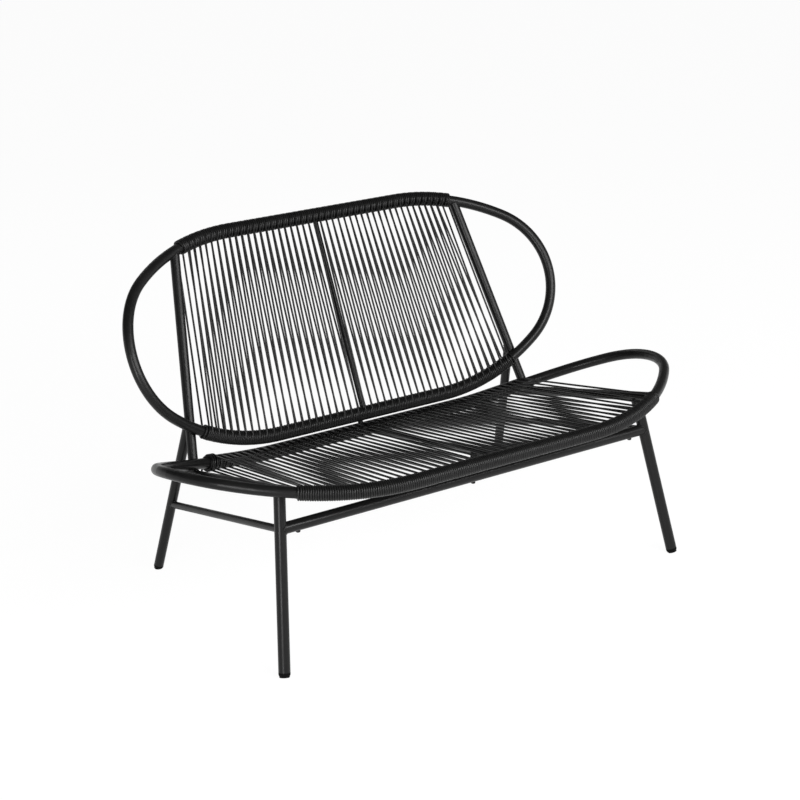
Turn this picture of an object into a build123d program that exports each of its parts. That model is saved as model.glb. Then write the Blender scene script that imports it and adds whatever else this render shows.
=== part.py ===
from build123d import *
import math
import os

# Garden bench for two: a wide oval seat hoop and a wide oval back hoop of
# round steel tube, strung with round cord and carried on four splayed legs.
# Millimetres. +X is the sitter's left, the bench faces -Y, +Z is up.
# Left and right are as seen from the front, so left is -X.

# Cord
cord_size = 4.6

# Seat hoop, described flat and then bent up at both ends
hoop_size = 24.0
hoop_wall = 1.5
seat_rear_straight = 329.3
seat_rear_radius = 365.5
seat_rear_angle = 53.5
seat_end_radius = 171.1
seat_end_angle = 82.85
seat_front_radius = 573.9
seat_flat_half = 252.4
seat_bend_radius = 1107.5
seat_height = 324.5
seat_tilt = 10.79

# Back hoop, described flat and then bent forward at both ends
back_top_straight = 227.4
back_top_radius = 486.6
back_top_angle = 34.25
back_end_radius = 184.7
back_end_angle = 111.57
back_bottom_radius = 483.6
back_flat_half = 211.1
back_bend_radius = 957.9
back_recline = 25.35

# Cord wraps, measured along the hoops from their middles to each side
seat_rear_wrap_left = 445.0
seat_rear_wrap_right = 457.5
seat_front_wrap = 492.0
back_bottom_wrap = 439.0
wrap_gap = 3.4
cuff_gap = 0.5
notch_gap = 0.2
string_gap = 0.1

# Strings. One cord runs to and fro over each hoop, so it lies in a layer on
# each side. Starts are where the first string of the front or top layer sets
# off, from the middle of the tube, and steps are from string to string. To the
# right of one seat string each next place shifts by a spread times its number
# squared.
back_string_count = 45
back_top_start = -353.5
back_top_step = 16.3
back_bottom_start = -430.0
back_bottom_step = 19.4
seat_string_count = 48
seat_rear_start = -409.5
seat_rear_step = 18.46
seat_rear_spread = -0.03
seat_front_start = -477.0
seat_front_step = 19.55
seat_front_spread = 0.2
seat_spread_from = 34
string_drift = 1.0

# Uprights of the back
upright_size = 22.0
upright_wall = 1.5
upright_top = 387.5
upright_cross = 454.0

# Side rails under the seat
rail_front = 494.0
rail_rear = 470.5

# Legs
front_leg_size = 25.0
front_leg_wall = 1.5
rear_leg_size = 22.0
front_foot_side = 531.9
front_foot_ahead = 221.4
front_leg_set = 59.0
rear_foot_side = 488.0
rear_foot_behind = 391.5
rear_leg_join = 27.0

# Foot caps
cap_height = 10.0
cap_edge = 7.0
cap_plug = 15.0
cap_flat = 1.2
cap_slack = 0.1

# Front rail between the front legs, in two stubs and a bolted middle
front_rail_height = 292.8
front_rail_seam = 434.0
seam_gap = 0.3
plug_reach = 30.0
plug_slack = 0.15
stretcher_size = 16.0
stretcher_wall = 1.2
stretcher_rear_height = 168.4

# Centre bars, the post on the middle line, and the link between the hoops,
# which stands after this many seat strings, in the middle of a gap
bar_size = 12.0
post_size = 14.0
link_after = 21

# Bolts
bolt_size = 6.0
bolt_head = 10.0
bolt_head_height = 4.5
bolt_socket = 5.0
bolt_socket_depth = 2.5
bolt_from_seam = 14.0
bolt_reach = 14.0
bolt_slack = 0.2

# Shares and counts of the drawing
span_angle = 36.0
straight_share = 0.00001

hoop_radius = hoop_size / 2
cover_radius = hoop_radius + cord_size
string_level = hoop_radius + cord_size / 2


def biarc(start, start_way, end, end_way):
    # Two arcs that leave start and reach end along the given ways
    chord = end - start
    lean = 2 * chord.dot(start_way + end_way)
    curl = 2 * (1 - start_way.dot(end_way))
    reach = chord.dot(chord)
    step = 2 * reach / (lean + math.sqrt(lean * lean + 4 * curl * reach))
    first = start + start_way * step
    last = end - end_way * step
    middle = (first + last) * 0.5
    middle_way = (last - first).normalized()
    return [arc(start, start_way, middle), arc(middle, middle_way, end)]


def arc(start, way, end):
    if (end - start).normalized().cross(way).length < straight_share:
        return Edge.make_line(start, end)
    return Edge.make_tangent_arc(start, way, end)


class Hoop:
    # A closed outline of straights and arcs, symmetric about X = 0. Its far
    # middle is where a distance along it starts, towards +X.
    def __init__(self, straight, arcs, last_radius, flat_half, bend_radius, across, rise):
        turned = sum(angle for radius, angle in arcs)
        arcs = arcs + [(last_radius, 180 - turned)]
        self.runs = [(straight, 0, 0)]
        for radius, angle in arcs:
            self.runs.append((radius * math.radians(angle), radius, angle))
        self.flat_half = flat_half
        self.bend_radius = bend_radius
        self.across = across
        self.rise = rise
        self.origin = Vector(0, 0, 0)
        self.depth = 0
        side, drop, heading = self.flat(sum(run[0] for run in self.runs))
        self.runs.append((side, 0, 0))
        self.depth = -drop
        self.half = sum(run[0] for run in self.runs)

    def flat(self, distance):
        side, drop, heading = 0, 0, 0
        for length, radius, angle in self.runs:
            step = min(distance, length)
            if radius:
                turn = step / radius
                side += radius * (math.sin(heading + turn) - math.sin(heading))
                drop += radius * (math.cos(heading + turn) - math.cos(heading))
                heading += turn
            else:
                side += step * math.cos(heading)
                drop -= step * math.sin(heading)
            distance -= step
        return side, drop, heading

    def place(self, distance):
        # Point on the tube's middle line at a distance along it, the way on,
        # and the way square to the outline that the ends rise to
        distance = distance % (2 * self.half)
        mirrored = distance > self.half
        if mirrored:
            distance = 2 * self.half - distance
        side, drop, heading = self.flat(distance)
        over = max(side - self.flat_half, 0)
        swing = over / self.bend_radius
        out = min(side, self.flat_half) + self.bend_radius * math.sin(swing)
        lift = self.bend_radius * (1 - math.cos(swing))
        run = math.cos(heading)
        fall = -math.sin(heading)
        sign = -1 if mirrored else 1
        point = Vector(sign * out, 0, 0) + self.across * (self.depth / 2 + drop)
        point = self.origin + point + self.rise * lift
        way = Vector(run * math.cos(swing), 0, 0) + self.across * (sign * fall)
        way = way + self.rise * (sign * run * math.sin(swing))
        normal = Vector(-sign * math.sin(swing), 0, 0) + self.rise * math.cos(swing)
        return point, way.normalized(), normal

    def near(self, distance):
        # The same, from the near middle
        return self.place(self.half - distance)

    def path(self, start, end, stops):
        marks = []
        total = 0
        for length, radius, angle in self.runs:
            spans = max(math.ceil(angle / span_angle), 1)
            marks += [total + length * span / spans for span in range(spans + 1)]
            total += length
        marks += [self.flat_half, self.half - self.flat_half] + stops
        marks += [2 * self.half - mark for mark in marks]
        marks += [mark - 2 * self.half for mark in marks]
        marks = [start] + sorted(mark for mark in marks if start < mark < end) + [end]
        kept = [marks[0]]
        for mark in marks[1:]:
            if mark - kept[-1] > cord_size / 2:
                kept.append(mark)
        kept[-1] = end
        edges = []
        for first, last in zip(kept, kept[1:]):
            edges += biarc(*self.place(first)[:2], *self.place(last)[:2])
        return Wire(edges)


def ring(outer, inner):
    return Circle(outer) - Circle(inner) if inner else Circle(outer)


def bent_tube(hoop, start, end, stops, outer, inner=0):
    point, way, normal = hoop.place(start)
    return sweep(Plane(origin=point, z_dir=way) * ring(outer, inner), hoop.path(start, end, stops))


def tube(start, end, outer, inner=0):
    return extrude(Plane(origin=start, z_dir=end - start) * ring(outer, inner), (end - start).length)


def along(start, end, distance):
    return start + (end - start).normalized() * distance


def crossing(start, end, other_start, other_end):
    # Point on the first line that comes nearest to the second
    one = (end - start).normalized()
    two = (other_end - other_start).normalized()
    gap = start - other_start
    slant = one.dot(two)
    return start + one * ((slant * gap.dot(two) - gap.dot(one)) / (1 - slant * slant))


def at_height(start, end, height):
    return start + (end - start) * ((height - start.Z) / (end.Z - start.Z))


def both(name, shape):
    nodes[name + "_right"] = shape
    nodes[name + "_left"] = mirror(shape, about=Plane.YZ)


nodes = {}

# The seat hoop, then the back hoop a wrap gap above its rear middle
tilt = math.radians(seat_tilt)
recline = math.radians(back_recline)
seat = Hoop(
    seat_rear_straight,
    [(seat_rear_radius, seat_rear_angle), (seat_end_radius, seat_end_angle)],
    seat_front_radius,
    seat_flat_half,
    seat_bend_radius,
    Vector(0, math.cos(tilt), -math.sin(tilt)),
    Vector(0, math.sin(tilt), math.cos(tilt)),
)
back = Hoop(
    back_top_straight,
    [(back_top_radius, back_top_angle), (back_end_radius, back_end_angle)],
    back_bottom_radius,
    back_flat_half,
    back_bend_radius,
    Vector(0, math.sin(recline), math.cos(recline)),
    Vector(0, -math.cos(recline), math.sin(recline)),
)
seat.origin = Vector(0, 0, seat_height)
back_foot = seat.place(0)[0] + seat.rise * (2 * cover_radius + wrap_gap)
back.origin = back_foot + back.across * (back.depth / 2)

# The origin goes to the middle of the bench's depth, on the floor
front_face = seat.near(0)[0].Y - cover_radius
rear_face = back.place(0)[0].Y + cover_radius
base = Vector(0, -(front_face + rear_face) / 2, 0)
seat.origin = seat.origin + base
back.origin = back.origin + base

seat_stops = [seat_rear_wrap_left, seat_rear_wrap_right, seat.half - seat_front_wrap]
back_stops = [back.half - back_bottom_wrap]
upright_radius = upright_size / 2
back_top_wrap = upright_top - upright_radius - cuff_gap
back_stops.append(back_top_wrap)

hoop_bore = hoop_radius - hoop_wall
seat_lap = (0, 2 * seat.half, seat_stops)
back_lap = (0, 2 * back.half, back_stops)
seat_solid = bent_tube(seat, *seat_lap, hoop_radius)
back_solid = bent_tube(back, *back_lap, hoop_radius)
nodes["seat_hoop"] = seat_solid - bent_tube(seat, *seat_lap, hoop_bore)
nodes["back_hoop"] = back_solid - bent_tube(back, *back_lap, hoop_bore)

# Centre lines of the frame's right side
upright_head = back.place(upright_top)[0]
hoop_point, hoop_way, forward = back.near(upright_cross)
upright_pass = hoop_point - forward * (hoop_radius + upright_radius)
seat_point = seat.place(rail_rear)[0]
upright_way = (upright_pass - upright_head).normalized()
upright_foot = upright_pass + upright_way * (seat_point - upright_pass).dot(upright_way)

rail_head = seat.near(rail_front)[0]
hoop_point, hoop_way, up = seat.place(rail_rear)
rail_pass = hoop_point - up * (hoop_radius + upright_radius)

rear_leg_head = upright_pass - upright_way * rear_leg_join
rear_foot = base + Vector(rear_foot_side, rear_foot_behind, 0)
rail_tail = crossing(rail_head, rail_pass, rear_foot, rear_leg_head)

front_leg_head = along(rail_head, rail_pass, front_leg_set)
front_foot = base + Vector(front_foot_side, -front_foot_ahead, 0)

# Solid rounds that the joints are coped to
front_leg_radius = front_leg_size / 2
rear_leg_radius = rear_leg_size / 2
rail_solid = tube(rail_head, rail_tail, upright_radius)
upright_solid = tube(upright_head, upright_foot, upright_radius)
front_leg_solid = tube(front_foot, front_leg_head, front_leg_radius)
rear_leg_solid = tube(rear_foot, rear_leg_head, rear_leg_radius)

upright_bore = upright_radius - upright_wall
upright = tube(upright_head, upright_foot, upright_radius, upright_bore)
both("back_upright", upright - back_solid - seat_solid - rail_solid)
side_rail = tube(rail_head, rail_tail, upright_radius, upright_bore)
both("side_rail", side_rail - seat_solid - rear_leg_solid)


def foot_cap(foot, head, radius, bore):
    # A round-edged cap with a plug in the tube, worn flat where it stands.
    # Also gives where the tube starts.
    way = (head - foot).normalized()
    slope = math.sqrt(1 - way.Z * way.Z)
    rest = cap_edge * (1 - way.Z) + (radius - cap_edge) * slope - cap_flat
    start = foot + way * (rest / way.Z)
    cap = extrude(Circle(radius), cap_height)
    cap = fillet(cap.edges().sort_by(Axis.Z)[0], cap_edge)
    cap += extrude(Circle(bore - cap_slack), cap_height + cap_plug)
    cap = Plane(origin=start, z_dir=way) * cap
    floor = extrude(Plane(origin=foot) * Circle(front_leg_size), -cap_height)
    return cap - floor, start + way * cap_height


front_bore = front_leg_radius - front_leg_wall
rear_bore = rear_leg_radius - upright_wall
cap, tube_start = foot_cap(front_foot, front_leg_head, front_leg_radius, front_bore)
both("front_foot_cap", cap)
front_leg = tube(tube_start, front_leg_head, front_leg_radius, front_bore)
both("front_leg", front_leg - rail_solid)
cap, tube_start = foot_cap(rear_foot, rear_leg_head, rear_leg_radius, rear_bore)
both("rear_foot_cap", cap)
rear_leg = tube(tube_start, rear_leg_head, rear_leg_radius, rear_bore)
both("rear_leg", rear_leg - upright_solid)

# Lower side stretchers
stretcher_front = at_height(front_foot, front_leg_head, front_rail_height)
stretcher_rear = at_height(rear_foot, rear_leg_head, stretcher_rear_height)
stretcher_radius = stretcher_size / 2
stretcher = tube(
    stretcher_front, stretcher_rear, stretcher_radius, stretcher_radius - stretcher_wall
)
stretcher = stretcher - front_leg_solid - rear_leg_solid

# Front rail: a stub on each leg, a plug in each seam, bolts from below
rail_end = stretcher_front
rail_middle = Vector(0, rail_end.Y, rail_end.Z)
down = Vector(0, 0, -1)


def on_rail(side):
    return Vector(side, rail_end.Y, rail_end.Z)


def bolt(top, reach):
    # Button head below top, shank up into what it holds
    head = extrude(Circle(bolt_head / 2), -bolt_head_height)
    head = fillet(head.edges().sort_by(Axis.Z)[0], bolt_head / 4)
    socket = RegularPolygon(bolt_socket / 2, 6, major_radius=False)
    head -= extrude(Plane(origin=(0, 0, -bolt_head_height)) * socket, bolt_socket_depth)
    head += extrude(Circle(bolt_size / 2), reach)
    return Location(top) * head


def bolt_hole(top, reach, slack):
    return tube(top + down * bolt_head_height, top - down * reach, bolt_size / 2 + slack)


rail_under = down * front_leg_radius
bolt_seat = on_rail(front_rail_seam + bolt_from_seam) + rail_under
stub = tube(on_rail(front_rail_seam + seam_gap / 2), rail_end, front_leg_radius, front_bore)
stub -= bolt_hole(bolt_seat, front_leg_radius, bolt_slack)
both("rail_stub", stub - front_leg_solid)
stub_solid = tube(on_rail(front_rail_seam), rail_end, front_leg_radius)
both("side_stretcher", stretcher - stub_solid)
plug = tube(
    on_rail(front_rail_seam - plug_reach),
    on_rail(front_rail_seam + plug_reach),
    front_bore - plug_slack,
)
both("rail_plug", plug - bolt_hole(bolt_seat, bolt_reach, 0))
middle_seat = rail_middle + rail_under
middle_reach = front_leg_size + bolt_reach
rail = tube(
    on_rail(seam_gap / 2 - front_rail_seam),
    on_rail(front_rail_seam - seam_gap / 2),
    front_leg_radius,
    front_bore,
)
nodes["front_rail"] = rail - bolt_hole(middle_seat, middle_reach, bolt_slack)
side_bolt = bolt(bolt_seat, bolt_reach)
nodes["rail_bolts"] = Compound([side_bolt, mirror(side_bolt, about=Plane.YZ)])
nodes["rail_middle_bolt"] = bolt(middle_seat, middle_reach)

# Centre bars, the post on the front rail and the link between the hoops
bar_radius = bar_size / 2
seat_bar = tube(seat.place(0)[0], seat.near(0)[0], bar_radius)
back_bar = tube(back.place(0)[0], back.near(0)[0], bar_radius)
nodes["seat_center_bar"] = seat_bar - seat_solid
nodes["back_center_bar"] = back_bar - back_solid
bar_way = (seat.near(0)[0] - seat.place(0)[0]).normalized()
bar_point = seat.place(0)[0]
bar_run = (rail_middle.Y - bar_point.Y) / bar_way.Y
post_head = bar_point + bar_way * bar_run
post = tube(rail_middle, post_head, post_size / 2)
post -= tube(on_rail(-front_rail_seam), on_rail(front_rail_seam), front_leg_radius)
nodes["rail_post"] = post - seat_bar - bolt_hole(middle_seat, middle_reach, 0)
link_set = Vector(seat_rear_start + seat_rear_step * (link_after + 1 / 2), 0, 0)
link_foot = seat.place(0)[0] + link_set
link_head = back.near(0)[0] + link_set
link = tube(link_foot, link_head, bar_radius)
nodes["hoop_link"] = link - seat_solid - back_solid


def cleared(shape, *others):
    for other in others:
        shape -= other
    return shape


# Cord wound close round each hoop, as a sleeve that the bars pass through
def wrap(hoop, middle, left, right):
    return bent_tube(hoop, middle - left, middle + right, [], cover_radius, hoop_radius)


loose_bar = bar_radius + notch_gap
seat_bar_hole = tube(seat.place(0)[0], seat.near(0)[0], loose_bar)
back_bar_hole = tube(back.place(0)[0], back.near(0)[0], loose_bar)
link_hole = tube(link_foot, link_head, loose_bar)
rail_hole = tube(rail_head, rail_tail, upright_radius + notch_gap)
upright_hole = tube(upright_head, upright_foot, upright_radius + notch_gap)
pair = [rail_hole, mirror(rail_hole, about=Plane.YZ)]
upright_pair = [upright_hole, mirror(upright_hole, about=Plane.YZ)]
rear_cover = wrap(seat, 0, seat_rear_wrap_left, seat_rear_wrap_right)
front_cover = wrap(seat, seat.half, seat_front_wrap, seat_front_wrap)
top_cover = wrap(back, 0, back_top_wrap, back_top_wrap)
bottom_cover = wrap(back, back.half, back_bottom_wrap, back_bottom_wrap)
nodes["seat_rear_wrap"] = cleared(rear_cover, seat_bar_hole, link_hole, *upright_pair)
nodes["seat_front_wrap"] = cleared(front_cover, seat_bar_hole, *pair)
nodes["back_top_wrap"] = cleared(top_cover, back_bar_hole)
nodes["back_bottom_wrap"] = cleared(bottom_cover, back_bar_hole, link_hole, *upright_pair)


# Strings between the wraps, on both sides of each hoop. Each shows from where
# its turn rises out of the wrap.
string_room = cord_size / 2 + notch_gap


def clear_anywhere(start, end):
    return True


def clear_below_seat(start, end):
    # Beside the post on the middle line, and inside the two side rails
    beside_post = abs(along(start, end, bar_run).X) > post_size / 2 + string_room
    rail_room = upright_radius + string_room
    inside_rear = abs(start.X) < rail_pass.X - rail_room
    inside_front = abs(end.X) < rail_head.X - rail_room
    return beside_post and inside_rear and inside_front


def string_place(start, step, spread, number):
    beyond = max(number - seat_spread_from, 0)
    return start + step * number + spread * beyond * beyond


def strings(hoop, far_run, near_run, count, layer, clear):
    # Layer 0 is at the front or top. In layer 1, behind or below it, a string
    # lands one step on along the near tube, and so leads to the next one.
    cords = []
    side = 1 - 2 * layer
    drift = string_drift * layer
    rise = math.sqrt(cover_radius ** 2 - hoop_radius ** 2) + string_gap
    for number in range(-layer, count - layer):
        far_place = string_place(*far_run, number) + drift
        near_place = string_place(*near_run, number + layer) + drift
        far, far_way, far_out = hoop.place(far_place)
        near, near_way, near_out = hoop.near(near_place)
        start = far + far_out * (side * string_level)
        end = near + near_out * (side * string_level)
        way = (end - start).normalized()
        if clear(start, end):
            start += way * (rise / way.cross(far_way).length)
            end -= way * (rise / way.cross(near_way).length)
            cords.append(tube(start, end, cord_size / 2))
    return Compound(cords)


top_run = (back_top_start, back_top_step, 0)
bottom_run = (back_bottom_start, back_bottom_step, 0)
rear_run = (seat_rear_start, seat_rear_step, seat_rear_spread)
front_run = (seat_front_start, seat_front_step, seat_front_spread)
back_cord = (back, top_run, bottom_run, back_string_count)
seat_cord = (seat, rear_run, front_run, seat_string_count)
nodes["back_front_strings"] = strings(*back_cord, 0, clear_anywhere)
nodes["back_rear_strings"] = strings(*back_cord, 1, clear_anywhere)
nodes["seat_top_strings"] = strings(*seat_cord, 0, clear_anywhere)
nodes["seat_bottom_strings"] = strings(*seat_cord, 1, clear_below_seat)

os.makedirs("parts", exist_ok=True)
for name, shape in nodes.items():
    export_step(shape, "parts/" + name + ".step")
for name, hoop in (("seat hoop", seat), ("back hoop", back)):
    area = math.pi * (hoop_radius ** 2 - hoop_bore ** 2)
    print(name, "volume over section times length",
          nodes[name.replace(" ", "_")].volume / (area * 2 * hoop.half))
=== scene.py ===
import math
import random
import bmesh
import bpy
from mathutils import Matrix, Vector


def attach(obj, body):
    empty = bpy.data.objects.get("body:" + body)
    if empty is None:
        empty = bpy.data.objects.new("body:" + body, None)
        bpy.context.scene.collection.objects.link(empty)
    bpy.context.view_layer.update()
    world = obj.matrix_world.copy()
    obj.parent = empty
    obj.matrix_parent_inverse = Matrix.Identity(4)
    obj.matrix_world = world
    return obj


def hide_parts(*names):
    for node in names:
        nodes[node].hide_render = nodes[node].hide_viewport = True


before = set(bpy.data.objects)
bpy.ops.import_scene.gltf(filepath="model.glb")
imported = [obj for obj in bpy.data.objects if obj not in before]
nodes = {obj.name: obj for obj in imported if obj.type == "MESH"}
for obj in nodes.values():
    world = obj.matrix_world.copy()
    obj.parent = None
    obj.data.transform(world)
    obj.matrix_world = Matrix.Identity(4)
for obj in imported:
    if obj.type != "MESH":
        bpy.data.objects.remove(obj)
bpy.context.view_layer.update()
random.seed(43)
print("frame loaded:", len(nodes), "nodes")

# The two hoops as they are drawn in the source: flat outline first, in metres
# along a straight, two arcs and a last arc, then bent at both ends
seatSizes = {
    "straight": 0.3293, "arcs": [(0.3655, 53.5), (0.1711, 82.85)], "lastRadius": 0.5739,
    "flatHalf": 0.2524, "bendRadius": 1.1075, "tilt": 10.79, "height": 0.3245,
}
backSizes = {
    "straight": 0.2274, "arcs": [(0.4866, 34.25), (0.1847, 111.57)], "lastRadius": 0.4836,
    "flatHalf": 0.2111, "bendRadius": 0.9579, "recline": 25.35, "wrapGap": 0.0034,
}
# The frame's right side, as in the source: places along the hoops, tube radii,
# feet on the floor before the depth is centred, and the low rails' heights
frameSizes = {
    "uprightTop": 0.3875, "uprightCross": 0.454, "railFront": 0.494, "railRear": 0.4705,
    "thin": 0.011, "frontLeg": 0.0125, "stretcher": 0.008, "legSet": 0.059, "legJoin": 0.027,
    "frontFoot": (0.5319, -0.2214), "rearFoot": (0.488, 0.3915),
    "frontHeight": 0.2928, "rearHeight": 0.1684,
}
hoopRadius = 0.012
cordRadius = 0.0023
coverRadius = hoopRadius + 2 * cordRadius


class HoopLine:
    # The tube's middle line. Distances start at its far middle, towards +X.
    def __init__(self, sizes, across, rise):
        turned = sum(angle for radius, angle in sizes["arcs"])
        self.runs = [(sizes["straight"], 0)]
        for radius, angle in sizes["arcs"] + [(sizes["lastRadius"], 180 - turned)]:
            self.runs.append((radius * math.radians(angle), radius))
        self.flatHalf = sizes["flatHalf"]
        self.bendRadius = sizes["bendRadius"]
        self.across = Vector(across)
        self.rise = Vector(rise)
        self.origin = Vector((0, 0, 0))
        side, drop, heading = self.flat(sum(length for length, radius in self.runs))
        self.runs.append((side, 0))
        self.depth = -drop
        self.half = sum(length for length, radius in self.runs)

    def flat(self, distance):
        side, drop, heading = 0, 0, 0
        for length, radius in self.runs:
            step = min(distance, length)
            if radius:
                turn = step / radius
                side += radius * (math.sin(heading + turn) - math.sin(heading))
                drop += radius * (math.cos(heading + turn) - math.cos(heading))
                heading += turn
            else:
                side += step * math.cos(heading)
                drop -= step * math.sin(heading)
            distance -= step
        return side, drop, heading

    def place(self, distance):
        # Point, way on, and the way square to the strung side
        distance = distance % (2 * self.half)
        sign = 1
        if distance > self.half:
            sign = -1
            distance = 2 * self.half - distance
        side, drop, heading = self.flat(distance)
        swing = max(side - self.flatHalf, 0) / self.bendRadius
        out = min(side, self.flatHalf) + self.bendRadius * math.sin(swing)
        lift = self.bendRadius * (1 - math.cos(swing))
        point = self.origin + self.across * (self.depth / 2 + drop) + self.rise * lift
        point += Vector((sign * out, 0, 0))
        run, fall = math.cos(heading), -math.sin(heading)
        way = Vector((run * math.cos(swing), 0, 0)) + self.across * (sign * fall)
        way += self.rise * (sign * run * math.sin(swing))
        normal = Vector((-sign * math.sin(swing), 0, 0)) + self.rise * math.cos(swing)
        return point, way.normalized(), normal

    def near(self, distance):
        return self.place(self.half - distance)


tilt = math.radians(seatSizes["tilt"])
recline = math.radians(backSizes["recline"])
seatLine = HoopLine(seatSizes, (0, math.cos(tilt), -math.sin(tilt)), (0, math.sin(tilt), math.cos(tilt)))
backLine = HoopLine(
    backSizes, (0, math.sin(recline), math.cos(recline)), (0, -math.cos(recline), math.sin(recline))
)
seatLine.origin = Vector((0, 0, seatSizes["height"]))
backFoot = seatLine.place(0)[0] + seatLine.rise * (2 * coverRadius + backSizes["wrapGap"])
backLine.origin = backFoot + backLine.across * (backLine.depth / 2)
depthMiddle = (seatLine.near(0)[0].y + backLine.place(0)[0].y) / 2
seatLine.origin.y -= depthMiddle
backLine.origin.y -= depthMiddle
print("hoop lines", round(2 * seatLine.half, 4), round(2 * backLine.half, 4), "m round")


# Shader sockets that add up like numbers
class Wire:
    def __init__(self, tree, socket=None):
        self.tree = tree
        self.socket = socket

    def node(self, kind, settings=None, inputs=None, output=0):
        made = self.tree.nodes.new(kind)
        for name, value in (settings or {}).items():
            setattr(made, name, value)
        for name, value in (inputs or {}).items():
            if isinstance(value, Wire):
                self.tree.links.new(value.socket, made.inputs[name])
            else:
                made.inputs[name].default_value = value
        return Wire(self.tree, made.outputs[output])

    def calc(self, operation, first, second):
        return self.node("ShaderNodeMath", {"operation": operation}, {0: first, 1: second})

    def mix(self, first, second):
        # This socket as the share of the second colour
        return self.node(
            "ShaderNodeMix", {"data_type": "RGBA"}, {0: self, 6: first, 7: second}, output=2
        )

    def stretch(self, low, high, newLow, newHigh):
        return self.node(
            "ShaderNodeMapRange", {"clamp": True},
            {"Value": self, "From Min": low, "From Max": high, "To Min": newLow, "To Max": newHigh},
        )

    def __add__(self, other):
        return self.calc("ADD", self, other)

    def __radd__(self, other):
        return self.calc("ADD", other, self)

    def __mul__(self, other):
        return self.calc("MULTIPLY", self, other)

    def __rmul__(self, other):
        return self.calc("MULTIPLY", other, self)


def grey(level, warm=0.0):
    return (level * (1 + warm), level, level * (1 - warm), 1)


def newFinish(name):
    material = bpy.data.materials.new(name)
    material.use_nodes = True
    shader = material.node_tree.nodes["Principled BSDF"]
    return material, shader, Wire(material.node_tree)


def feed(shader, start, **sockets):
    # Links what varies to the shader's sockets, by their names with spaces left out
    for socket in shader.inputs:
        value = sockets.get(socket.name.replace(" ", ""))
        if value is not None:
            start.tree.links.new(value.socket, socket)


def cloud(start, place, scale, detail=3.0, roughness=0.55):
    return start.node(
        "ShaderNodeTexNoise", None,
        {"Vector": place, "Scale": scale, "Detail": detail, "Roughness": roughness},
    )


def glossAround(source, seen, look):
    # Roughness that swings about its middle as the source does
    swing = look["glossSpread"] / 2
    return source.stretch(*seen, look["gloss"] - swing, look["gloss"] + swing)


# Powder coat: satin black with a fine orange peel, faint clouds of gloss, and
# a little dust lying on what faces up
powderLook = {
    "tone": 0.008, "dustTone": 0.026, "dustWarmth": 0.04, "specular": 0.22,
    "gloss": 0.33, "glossSpread": 0.09, "glossClouds": (0.3, 0.7), "cloudScale": 21,
    "peelScale": 620, "peelHeight": 0.00006, "peelStrength": 0.35,
    "speckScale": 2400, "speckRange": (0.62, 0.78), "speckShare": 0.12,
    "dustRise": (0.35, 1.0), "dustClouds": (0.42, 0.72), "dustShare": 0.28, "dustDulls": 0.12,
}


def powderCoat(name, look, toneShare=1.0):
    material, shader, start = newFinish(name)
    place = start.node("ShaderNodeTexCoord", output=3)
    upright = start.node("ShaderNodeNewGeometry", output=1)
    height = start.node("ShaderNodeSeparateXYZ", None, {"Vector": upright}, output=2)
    clouds = cloud(start, place, look["cloudScale"], 4.0)
    specks = cloud(start, place, look["speckScale"], 1.0).stretch(*look["speckRange"], 0, 1)
    peel = cloud(start, place, look["peelScale"], 2.0)
    dust = height.stretch(*look["dustRise"], 0, 1) * clouds.stretch(*look["dustClouds"], 0, 1)
    pale = dust * look["dustShare"] + specks * look["speckShare"]
    color = pale.mix(grey(look["tone"] * toneShare), grey(look["dustTone"], look["dustWarmth"]))
    rough = glossAround(clouds, look["glossClouds"], look) + dust * look["dustDulls"]
    bump = start.node(
        "ShaderNodeBump", None,
        {"Strength": look["peelStrength"], "Distance": look["peelHeight"], "Height": peel},
    )
    shader.inputs["Specular IOR Level"].default_value = look["specular"]
    feed(shader, start, BaseColor=color, Roughness=rough, Normal=bump)
    return material


# Round extruded cord: lines along it from the die, and a soft uneven sheen.
# The maps run along and round each cord.
cordLook = {
    "tone": 0.0075, "paleTone": 0.02, "paleWarmth": 0.02, "specular": 0.3,
    "gloss": 0.38, "glossSpread": 0.14, "glossClouds": (0.35, 0.65), "cloudScale": 36,
    "paleLines": (0.5, 0.8, 0, 0.35), "paleClouds": (0.5, 0.85, 0, 0.3),
    "linesRound": 22, "linesPerMetre": 3.0, "lineHeight": 0.00005,
    "grainScale": 900, "grainHeight": 0.00003, "bumpStrength": 0.5,
}


def cordFinish(name, look, length):
    material, shader, start = newFinish(name)
    place = start.node("ShaderNodeTexCoord", output=3)
    along = start.node("ShaderNodeUVMap")
    stretched = start.node(
        "ShaderNodeMapping", None,
        {"Vector": along, "Scale": (length * look["linesPerMetre"], look["linesRound"], 1)},
    )
    lines = cloud(start, stretched, 1.0, 2.0)
    grain = cloud(start, place, look["grainScale"], 3.0)
    clouds = cloud(start, place, look["cloudScale"], 3.0)
    pale = lines.stretch(*look["paleLines"]) + clouds.stretch(*look["paleClouds"])
    color = pale.mix(grey(look["tone"]), grey(look["paleTone"], look["paleWarmth"]))
    rough = glossAround(lines * 0.5 + clouds * 0.5, look["glossClouds"], look)
    height = lines * look["lineHeight"] + grain * look["grainHeight"]
    bump = start.node(
        "ShaderNodeBump", None, {"Strength": look["bumpStrength"], "Distance": 1.0, "Height": height}
    )
    shader.inputs["Specular IOR Level"].default_value = look["specular"]
    feed(shader, start, BaseColor=color, Roughness=rough, Normal=bump)
    return material


# Moulded black plastic of the foot caps and plugs: a fine spark-worn grain,
# scuffed where it stands on the floor
capLook = {
    "tone": 0.0025, "scuffTone": 0.014, "scuffWarmth": 0.06, "specular": 0.07,
    "glossRange": (0.57, 0.69), "grainScale": 1500, "grainRange": (0.3, 0.7),
    "grainHeight": 0.00009, "bumpStrength": 0.5, "scuffHeight": 0.004, "scuffShare": 0.7,
    "scuffDulls": 0.2, "scratchScale": 330, "scratchRange": (0.42, 0.62),
}


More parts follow.
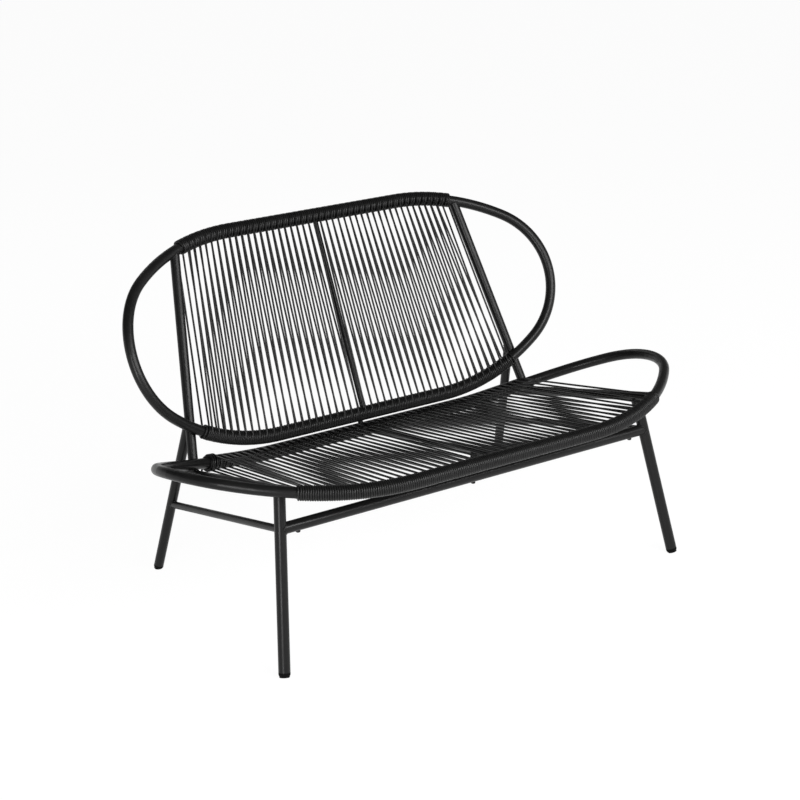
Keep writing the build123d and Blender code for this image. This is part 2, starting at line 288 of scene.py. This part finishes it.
def capFinish(name, look):
    material, shader, start = newFinish(name)
    place = start.node("ShaderNodeTexCoord", output=3)
    floorGap = start.node("ShaderNodeSeparateXYZ", None, {"Vector": place}, output=2)
    grain = cloud(start, place, look["grainScale"], 2.0)
    scratches = cloud(start, place, look["scratchScale"], 5.0).stretch(*look["scratchRange"], 0, 1)
    scuff = floorGap.stretch(0, look["scuffHeight"], 1, 0) * scratches
    shades = (grey(look["tone"]), grey(look["scuffTone"], look["scuffWarmth"]))
    color = (scuff * look["scuffShare"]).mix(*shades)
    rough = grain.stretch(*look["grainRange"], *look["glossRange"]) + scuff * look["scuffDulls"]
    bump = start.node(
        "ShaderNodeBump", None,
        {"Strength": look["bumpStrength"], "Distance": look["grainHeight"], "Height": grain},
    )
    shader.inputs["Specular IOR Level"].default_value = look["specular"]
    feed(shader, start, BaseColor=color, Roughness=rough, Normal=bump)
    return material


# Blackened steel of the screws, rubbed bright in small spots
boltLook = {
    "tone": 0.02, "rubbedTone": 0.16, "warmth": 0.03, "glossRange": (0.32, 0.44),
    "metalRange": (0.75, 1.0), "rubScale": 700, "rubRange": (0.56, 0.74), "rubShare": 0.6,
    "fineScale": 2600, "fineRange": (0.3, 0.7), "fineHeight": 0.00005, "bumpStrength": 0.3,
}


def boltFinish(name, look):
    material, shader, start = newFinish(name)
    place = start.node("ShaderNodeTexCoord", output=3)
    rub = cloud(start, place, look["rubScale"], 5.0, 0.7).stretch(*look["rubRange"], 0, 1)
    fine = cloud(start, place, look["fineScale"], 2.0)
    shades = (grey(look["tone"], look["warmth"]), grey(look["rubbedTone"], look["warmth"]))
    color = (rub * look["rubShare"]).mix(*shades)
    metal = rub.stretch(0, 1, *look["metalRange"])
    rough = fine.stretch(*look["fineRange"], *look["glossRange"])
    bump = start.node(
        "ShaderNodeBump", None,
        {"Strength": look["bumpStrength"], "Distance": look["fineHeight"], "Height": fine},
    )
    feed(shader, start, BaseColor=color, Metallic=metal, Roughness=rough, Normal=bump)
    return material


powder = powderCoat("satin powder coat", powderLook)
weldToneShare = 0.9
weldCoat = powderCoat("powder coat over weld", powderLook, weldToneShare)
capPlastic = capFinish("moulded cap plastic", capLook)
boltBlack = boltFinish("blackened screw", boltLook)
for name, piece in nodes.items():
    finish = powder
    if "foot_cap" in name or "plug" in name:
        finish = capPlastic
    elif "bolt" in name:
        finish = boltBlack
    piece.data.materials.clear()
    piece.data.materials.append(finish)
print("frame finishes on", len(nodes), "nodes")


# Cord paths become round tubes along smooth splines, then meshes with their maps.
# A point may carry a fourth number, its share of the radius.
def cordPiece(name, paths, radius, sides, finishLook=None, finish=None, closed=False):
    line = bpy.data.curves.new(name + " line", "CURVE")
    line.dimensions = "3D"
    line.bevel_depth = radius
    line.bevel_resolution = sides // 2 - 2  # The curve makes 4 sides and 2 for each step
    line.use_fill_caps = True
    line.resolution_u = 1
    length = 0
    for path in paths:
        spline = line.splines.new("NURBS")
        spline.points.add(len(path) - 1)
        for point, place in zip(spline.points, path):
            point.co = (*place[:3], 1)
            point.radius = place[3] if len(place) > 3 else 1
        spline.order_u = 3
        spline.use_endpoint_u = not closed
        spline.use_cyclic_u = closed
        length += sum((Vector(b[:3]) - Vector(a[:3])).length for a, b in zip(path, path[1:]))
    drawn = bpy.data.objects.new(name + " line", line)
    bpy.context.scene.collection.objects.link(drawn)
    bpy.context.view_layer.update()
    mesh = bpy.data.meshes.new_from_object(drawn)
    bpy.data.objects.remove(drawn)
    mesh.name = name
    for face in mesh.polygons:
        face.use_smooth = True
    piece = bpy.data.objects.new(name, mesh)
    bpy.context.scene.collection.objects.link(piece)
    mesh.materials.clear()
    mesh.materials.append(finish or cordFinish(name + " finish", finishLook, length / len(paths)))
    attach(piece, "root")
    print(name, len(mesh.polygons), "faces,", round(length, 2), "m of cord")
    return piece


# Winding: the wraps are spacer turns between the strings, and each string is
# carried over its tube by half a turn of its own. Starts and steps are where the
# front or top strings lie along a tube, and spread widens them at the far right.
# Drift is how far on each string is at the rear or lower layer.
# Crowd pushes the first strings on from the wrap's end, and hold keeps the rear or
# lower layer back there. Both are an amount and the string at which they end.
# Moved lists strings that lie askew on the lower layer. Such a string and a held
# one are lifted on the half turn's rear part, fully where askew by liftFrom.
# Left and right are the wrap's ends, slots is how many turns fit from string to
# string, and slant is how far askew the wrap's first and last turns lie.
windLook = {
    "halfTurnSteps": 11, "wander": 0.00016, "endSlot": 0.0047, "runIn": 3,
    "lift": 1.2, "liftFrom": 0.008, "askewFrom": 0.45,
}
tubeSides = {
    "back_top": {
        "hoop": backLine, "far": True, "start": -0.352, "step": 0.01624, "spread": 0, "drift": 0.001,
        "crowd": (0, 1), "hold": (0, 1), "moved": {},
        "left": 0.376, "right": 0.376, "slots": 3, "count": 45, "turnCord": 0.00272, "slant": (0, 0),
    },
    "back_bottom": {
        "hoop": backLine, "far": False, "start": -0.4246, "step": 0.01918, "spread": 0, "drift": 0.0002,
        "crowd": (0.0042, 7), "hold": (0.004, 4), "moved": {},
        "left": 0.439, "right": 0.439, "slots": 4, "count": 45, "turnCord": 0.00243, "slant": (0.004, 0.003),
    },
    "seat_rear": {
        "hoop": seatLine, "far": True, "start": -0.4095, "step": 0.01846, "spread": -0.00003, "drift": 0.0011,
        "crowd": (0, 1), "hold": (0, 1), "moved": {23: 0.004},
        "left": 0.4375, "right": 0.4575, "slots": 4, "count": 48, "turnCord": 0.00232, "slant": (0.001, 0),
    },
    "seat_front": {
        "hoop": seatLine, "far": False, "start": -0.477, "step": 0.01955, "spread": 0.0002, "drift": 0.0027,
        "crowd": (0, 1), "hold": (0, 1), "moved": {},
        "left": 0.492, "right": 0.492, "slots": 4, "count": 48, "turnCord": 0.00246, "slant": (0.001, 0.002),
    },
}
spreadFrom = 34


def woundPoint(side, distance, turn, radius):
    # A point on the tube's cover. Turn is 0 at the front layer, -1/4 outside
    # and -1/2 at the rear layer.
    hoop = side["hoop"]
    point, way, normal = hoop.place(distance) if side["far"] else hoop.near(distance)
    inward = way.cross(normal)
    angle = 2 * math.pi * turn
    return point + (normal * math.cos(angle) + inward * math.sin(angle)) * radius


def fading(amount, number):
    # All of it up to the first string, and nothing from its last string on
    most, ending = amount
    return most * max(1 - max(number, 0) / ending, 0)


def stringPlace(side, number):
    beyond = max(number - spreadFrom, 0)
    place = side["start"] + side["step"] * number + side["spread"] * beyond * beyond
    return place + fading(side["crowd"], number)


def slotPlace(side, slot):
    # Distance along the tube of a slot, counted from the first string. Past
    # the outer strings the turns close up to a cord's width.
    last = (side["count"] - 1) * side["slots"]
    inside = min(max(slot, 0), last)
    return stringPlace(side, inside / side["slots"]) + (slot - inside) * windLook["endSlot"]


def spacerPath(side):
    # Fills the tube from end to end, stepping over the slots that strings take
    slots, count, far = side["slots"], side["count"], side["far"]
    cord = side["turnCord"]
    before = int((side["left"] + stringPlace(side, 0) - cord) / windLook["endSlot"])
    last = (count - 1) * slots
    after = int((side["right"] - stringPlace(side, count - 1) - cord) / windLook["endSlot"])
    taken = [number * slots for number in range(count)]
    free = [slot for slot in range(-before, last + after + 1) if slot not in taken]
    steps = windLook["halfTurnSteps"]
    path = []
    for slot, following in zip(free, free[1:] + [free[-1] + 1]):
        wander = random.uniform(-windLook["wander"], windLook["wander"])
        # The first and last turns lie askew where the cord's ends are tucked in
        askew = 0
        if slot == free[0]:
            askew = -side["slant"][0]
        elif slot == free[-1]:
            askew = side["slant"][1]
        # On the far tube a turn runs 0, -1/2, -1, on the near tube -1/2, 0, 1/2.
        # It steps on to the next slot on the inside.
        lean = side["drift"] / side["step"] * slots
        begin, middle, end = (slot, slot + lean, following) if far else (slot + lean, slot, following + lean)
        for share in range(2 * steps):
            turned = share / steps
            if turned < 1:
                spot = begin + (middle - begin) * turned
            else:
                spot = middle + (end - middle) * (turned - 1)
            turn = -turned / 2 if far else (turned - 1) / 2
            distance = slotPlace(side, spot) + wander * math.sin(math.pi * turned)
            distance += askew * math.sin(math.pi * turned / 2) ** 2
            path.append(woundPoint(side, distance, turn, hoopRadius + cord))
    return path


for key, side in tubeSides.items():
    turns = cordPiece(key + "_wrap_turns", [spacerPath(side)], side["turnCord"], 8, cordLook)
    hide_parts(key + "_wrap")


def overTube(side, number):
    # Half a turn of string over the outside of its tube, from the front layer
    # to the rear on the far tube and back on the near one
    steps = windLook["halfTurnSteps"]
    level = hoopRadius + side["turnCord"]
    path = []
    # What lies askew does so on the rear part, and is lifted there
    askew = side["moved"].get(number, 0) - fading(side["hold"], number)
    lift = windLook["lift"] * side["turnCord"] * min(abs(askew) / windLook["liftFrom"], 1)
    for share in range(steps + 1):
        turned = share / steps
        turn = -turned / 2 if side["far"] else (turned - 1) / 2
        rearward = turned if side["far"] else 1 - turned
        late = max((rearward - windLook["askewFrom"]) / (1 - windLook["askewFrom"]), 0)
        place = stringPlace(side, number) + side["drift"] * rearward + askew * late
        path.append(woundPoint(side, place, turn, level + lift * late))
    return path


def stringPaths(farSide, nearSide, blocked, besides):
    # One cord: down the rear layer from the far tube's left, over the near tube,
    # up the front layer, over the far tube, down one string on, and so on. It
    # sets off from the last points of a half turn, and blocked breaks it.
    runIn = windLook["runIn"]
    paths = []
    path = []
    for number in range(-1, farSide["count"]):
        over = overTube(farSide, number)
        back = overTube(nearSide, number + 1)
        path += over if number >= 0 else over[-runIn:]
        if number == farSide["count"] - 1:
            break
        if blocked(over[-1], back[0]):
            if len(path) > runIn:
                paths.append(path)
            path = []
        path += besides(over[-1], back[0]) + back
    paths.append(path)
    return paths


postHold = nodes["rail_post"]
postCorners = [postHold.matrix_world @ Vector(corner) for corner in postHold.bound_box]
postPlace = sum(postCorners, Vector((0, 0, 0))) / 8
postRoom = {"passing": 0.0095, "length": 0.012}
railInside = {
    "rear": seatLine.place(frameSizes["railRear"])[0].x,
    "front": seatLine.near(frameSizes["railFront"])[0].x,
    "room": 0.0135,
}


def blockedBelow(start, end):
    # The side rails lie where the outermost lower strings would run
    atRear = abs(start.x) > railInside["rear"] - railInside["room"]
    return atRear or abs(end.x) > railInside["front"] - railInside["room"]


def aroundPost(start, end):
    # The lower string that would meet the post bends round its right side
    share = (postPlace.y - start.y) / (end.y - start.y)
    meets = start + (end - start) * share
    if abs(meets.x - postPlace.x) > postRoom["passing"]:
        return []
    way = (end - start).normalized()
    beside = meets + Vector((postPlace.x + postRoom["passing"] - meets.x, 0, 0))
    return [beside - way * postRoom["length"], beside, beside + way * postRoom["length"]]


backPaths = stringPaths(
    tubeSides["back_top"], tubeSides["back_bottom"], lambda start, end: False, lambda start, end: []
)
backStrings = cordPiece("back_strings", backPaths, cordRadius, 12, cordLook)
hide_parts("back_front_strings", "back_rear_strings")
seatPaths = stringPaths(tubeSides["seat_rear"], tubeSides["seat_front"], blockedBelow, aroundPost)
seatStrings = cordPiece("seat_strings", seatPaths, cordRadius, 12, cordLook)
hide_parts("seat_top_strings", "seat_bottom_strings")
print("strings strung in", len(seatPaths), "runs on the seat")

# The cord was started over the left end of the seat's rear wrap: a few loose
# turns on top, and a tail that hangs from them
lumpLook = {
    "start": -0.4315, "step": 0.0064, "turns": 3, "sway": 0.0018, "leanStep": (0.3, 1.1),
    "rise": 0.0003, "riseWaves": 1.7, "begin": -0.35, "tail": 0.015,
    "tailWay": (-0.55, -0.25, -0.8), "tailShares": (1, 0.8, 0.6, 0.4, 0.2),
    "tailSag": 0.002, "tailWave": 3,
}


def lumpPath(look):
    side = tubeSides["seat_rear"]
    level = hoopRadius + 2 * side["turnCord"] + cordRadius * 0.5
    steps = 2 * windLook["halfTurnSteps"]
    path = []
    lean = random.uniform(0, math.pi)
    for count in range(look["turns"] * steps + 1):
        turned = count / steps
        if count % steps == 0:
            lean += random.uniform(*look["leanStep"])
        sway = look["sway"] * math.sin(math.pi * turned / look["turns"])
        distance = look["start"] + look["step"] * turned
        distance += sway * math.sin(2 * math.pi * turned + lean)
        lift = look["rise"] * math.sin(look["riseWaves"] * math.pi * turned)
        path.append(woundPoint(side, distance, look["begin"] - turned, level + lift))
    tail = []
    for share in look["tailShares"]:
        hang = Vector(look["tailWay"]) * look["tail"] * share
        hang.y -= look["tailSag"] * math.sin(look["tailWave"] * share)
        tail.append(path[0] + hang)
    return tail + path


cordPiece("seat_rear_wrap_lump", [lumpPath(lumpLook)], cordRadius, 8, cordLook)
print("lump of turns laid")


def nearest(start, end, otherStart, otherEnd):
    # Point on the first line that comes nearest to the second
    one = (end - start).normalized()
    two = (otherEnd - otherStart).normalized()
    gap = start - otherStart
    slant = one.dot(two)
    return start + one * ((slant * gap.dot(two) - gap.dot(one)) / (1 - slant * slant))


def frameLines(sizes):
    # Each line is a point, the way along and the tube's radius. Touches are where
    # a tube passes a hoop: the point, both ways along and the way to the hoop.
    lines = {}
    uprightHead, headWay = backLine.place(sizes["uprightTop"])[:2]
    crossPoint, crossWay, forward = backLine.near(sizes["uprightCross"])
    uprightPass = crossPoint - forward * (hoopRadius + sizes["thin"])
    uprightWay = (uprightPass - uprightHead).normalized()
    seatPoint, seatWay, seatUp = seatLine.place(sizes["railRear"])
    uprightFoot = uprightPass + uprightWay * (seatPoint - uprightPass).dot(uprightWay)
    railHead, railHoopWay = seatLine.near(sizes["railFront"])[:2]
    railPass = seatPoint - seatUp * (hoopRadius + sizes["thin"])
    rearLegHead = uprightPass - uprightWay * sizes["legJoin"]
    rearFoot = Vector((*sizes["rearFoot"], 0)) - Vector((0, depthMiddle, 0))
    frontFoot = Vector((*sizes["frontFoot"], 0)) - Vector((0, depthMiddle, 0))
    railTail = nearest(railHead, railPass, rearFoot, rearLegHead)
    frontLegHead = railHead + (railPass - railHead).normalized() * sizes["legSet"]
    low = frontFoot + (frontLegHead - frontFoot) * (sizes["frontHeight"] / frontLegHead.z)
    lowRear = rearFoot + (rearLegHead - rearFoot) * (sizes["rearHeight"] / rearLegHead.z)
    lines["backHoopTop"] = (uprightHead, headWay, hoopRadius)
    lines["seatHoopRear"] = (seatPoint, seatWay, hoopRadius)
    lines["seatHoopFront"] = (railHead, railHoopWay, hoopRadius)
    lines["upright"] = (uprightHead, uprightWay, sizes["thin"])
    lines["uprightUp"] = (uprightFoot, -uprightWay, sizes["thin"])
    lines["rail"] = (railHead, (railTail - railHead).normalized(), sizes["thin"])
    lines["railBack"] = (railTail, (railHead - railTail).normalized(), sizes["thin"])
    lines["frontLeg"] = (frontLegHead, (frontFoot - frontLegHead).normalized(), sizes["frontLeg"])
    lines["rearLeg"] = (rearLegHead, (rearFoot - rearLegHead).normalized(), sizes["thin"])
    lines["stretcher"] = (low, (lowRear - low).normalized(), sizes["stretcher"])
    lines["stretcherBack"] = (lowRear, (low - lowRear).normalized(), sizes["stretcher"])
    lines["frontRail"] = (low, Vector((-1, 0, 0)), sizes["frontLeg"])
    touches = [
        (uprightPass + forward * sizes["thin"], crossWay, uprightWay, forward),
        (railPass + seatUp * sizes["thin"], seatWay, lines["rail"][1], seatUp),
    ]
    return lines, touches


# Weld beads: a rippled ring where one tube's coped end meets another, and two
# short beads where a tube only passes against a hoop
weldLook = {
    "bead": 0.0015, "ripple": 0.22, "rippleStep": 0.0021, "uneven": 0.06,
    "touchHalf": 0.006, "touchSide": 0.0068, "touchSteps": 8, "touchSink": 0.0012,
    "touchSwell": 1.1, "touchTaper": 0.5,
}


def weldRing(through, ending, look):
    center, way, radius = through
    begin, along, endRadius = ending
    across = along.orthogonal().normalized()
    up = along.cross(across)
    ripples = int(2 * math.pi * endRadius / look["rippleStep"])
    path = []
    for count in range(4 * ripples):
        angle = math.pi * count / 2 / ripples
        out = across * math.cos(angle) + up * math.sin(angle)
        base = begin + out * endRadius
        # How far along the ending tube this line of it comes out of the other
        gap = base - center
        flatGap = gap - way * gap.dot(way)
        flatWay = along - way * along.dot(way)
        square = flatWay.dot(flatWay)
        middle = -flatGap.dot(flatWay) / square
        spread = (radius * radius - flatGap.dot(flatGap)) / square + middle * middle
        reach = middle + math.sqrt(max(spread, 0))
        swell = 1 + look["ripple"] * math.cos(math.pi * count / 2)
        swell += random.uniform(-look["uneven"], look["uneven"])
        path.append((*(base + along * reach), swell))
    return path


def touchBeads(touch, look):
    point, hoopWay, tubeWay, toHoop = touch
    aside = (hoopWay - tubeWay * hoopWay.dot(tubeWay)).normalized()
    paths = []
    for sign in (-1, 1):
        path = []
        for count in range(2 * look["touchSteps"] + 1):
            share = count / look["touchSteps"] - 1
            place = point + tubeWay * (look["touchHalf"] * share) + aside * (sign * look["touchSide"])
            place = place - toHoop * look["touchSink"]
            swell = 1 + look["ripple"] * math.cos(math.pi * count / 2)
            swell *= look["touchSwell"] - look["touchTaper"] * share * share
            path.append((*place, swell))
        paths.append(path)
    return paths


def mirrored(paths):
    return [[(-place[0], *place[1:]) for place in path] for path in paths]


lines, touches = frameLines(frameSizes)
joints = [
    ("backHoopTop", "upright"), ("seatHoopRear", "uprightUp"), ("seatHoopFront", "rail"),
    ("rearLeg", "railBack"), ("rail", "frontLeg"), ("upright", "rearLeg"),
    ("frontLeg", "stretcher"), ("rearLeg", "stretcherBack"), ("frontLeg", "frontRail"),
]
rings = [weldRing(lines[through], lines[ending], weldLook) for through, ending in joints]
rings += mirrored(rings)
cordPiece("weld_beads", rings, weldLook["bead"], 8, finish=weldCoat, closed=True)
beads = []
for touch in touches:
    beads += touchBeads(touch, weldLook)
beads += mirrored(beads)
cordPiece("weld_tacks", beads, weldLook["bead"], 8, finish=weldCoat)
print("welds laid:", len(rings), "rings,", len(beads), "short beads")

# Floor and light: a white room with a dark ceiling, and a plain pale floor that
# keeps the shadow
stageLook = {
    "floorHalf": 9.0, "floorTone": 0.8, "whiteShare": 0.88, "whiteGlow": 1.09, "roomLight": 0.5,
    "wallTop": 0.03, "ceilingFrom": 0.24, "ceilingShare": 0.1,
}


def whiteRays(start):
    # 1 for rays that should see the white background
    path = start.node("ShaderNodeLightPath")
    glossy = Wire(start.tree, path.socket.node.outputs["Is Glossy Ray"])
    through = Wire(start.tree, path.socket.node.outputs["Is Transmission Ray"])
    return start.calc("MAXIMUM", path, start.calc("MAXIMUM", glossy, through))


def buildStage(look):
    shape = bmesh.new()
    bmesh.ops.create_grid(shape, x_segments=1, y_segments=1, size=look["floorHalf"])
    mesh = bpy.data.meshes.new("floor")
    shape.to_mesh(mesh)
    shape.free()
    floor = bpy.data.objects.new("floor", mesh)
    bpy.context.scene.collection.objects.link(floor)
    material = bpy.data.materials.new("pale floor")
    material.use_nodes = True
    tree = material.node_tree
    tree.nodes.clear()
    start = Wire(tree)
    plain = start.node("ShaderNodeBsdfDiffuse", None, {"Color": grey(look["floorTone"])})
    white = start.node("ShaderNodeEmission", None, {"Color": grey(1.0), "Strength": look["whiteGlow"]})
    share = whiteRays(start) * look["whiteShare"]
    blended = start.node("ShaderNodeMixShader", None, {0: share, 1: plain, 2: white})
    ending = tree.nodes.new("ShaderNodeOutputMaterial")
    tree.links.new(blended.socket, ending.inputs["Surface"])
    mesh.materials.append(material)

    world = bpy.data.worlds.new("white room")
    bpy.context.scene.world = world
    world.use_nodes = True
    room = Wire(world.node_tree)
    towards = room.node("ShaderNodeTexCoord")
    height = room.node("ShaderNodeSeparateXYZ", None, {"Vector": towards}, output=2)
    wall = height.stretch(look["wallTop"], look["ceilingFrom"], 1, look["ceilingShare"])
    # The camera sees plain white, and gloss sees the white walls under the ceiling
    seen = room.node("ShaderNodeLightPath")
    strength = room.calc("MAXIMUM", seen, whiteRays(room).stretch(0, 1, look["roomLight"], 1.0) * wall)
    background = world.node_tree.nodes["Background"]
    background.inputs["Color"].default_value = (1, 1, 1, 1)
    world.node_tree.links.new(strength.socket, background.inputs["Strength"])


def softLight(name, place, target, size, power):
    lamp = bpy.data.lights.new(name, "AREA")
    lamp.shape = "RECTANGLE"
    lamp.size, lamp.size_y = size
    lamp.energy = power
    holder = bpy.data.objects.new(name, lamp)
    holder.location = place
    holder.rotation_euler = (Vector(target) - Vector(place)).to_track_quat("-Z", "Y").to_euler()
    bpy.context.scene.collection.objects.link(holder)


# Each light's place, what it is turned to, its size in metres and its watts
lightLook = {
    "key light": ((-3.2, -2.4, 0.95), (0, 0, 0.4), (0.9, 1.6), 60),
    "front light": ((0.8, -3.7, 2.35), (0, 0, 0.5), (4.4, 1.1), 175),
    "rear light": ((0.6, 2.8, 2.2), (0, 0, 0.5), (1.8, 0.4), 6),
}
buildStage(stageLook)
for name, light in lightLook.items():
    softLight(name, *light)
print("stage lit by", len(lightLook), "lights")

# Camera as the photograph was read, an 800 by 800 picture: level, no shift. The render size is not set here
cameraLook = {
    "place": (-2.4001, -3.3757, 1.9135), "yaw": 35.2611, "pitch": 20.1772,
    "lens": 88.588, "sensor": 36, "reach": 60,
}
cameraData = bpy.data.cameras.new("camera")
cameraData.lens = cameraLook["lens"]
cameraData.sensor_width = cameraLook["sensor"]
cameraData.sensor_fit = "HORIZONTAL"
cameraData.clip_end = cameraLook["reach"]
camera = bpy.data.objects.new("camera", cameraData)
camera.location = cameraLook["place"]
camera.rotation_euler = (math.radians(90 - cameraLook["pitch"]), 0, -math.radians(cameraLook["yaw"]))
bpy.context.scene.collection.objects.link(camera)
bpy.context.scene.camera = camera
bpy.context.scene.view_settings.view_transform = "Standard"
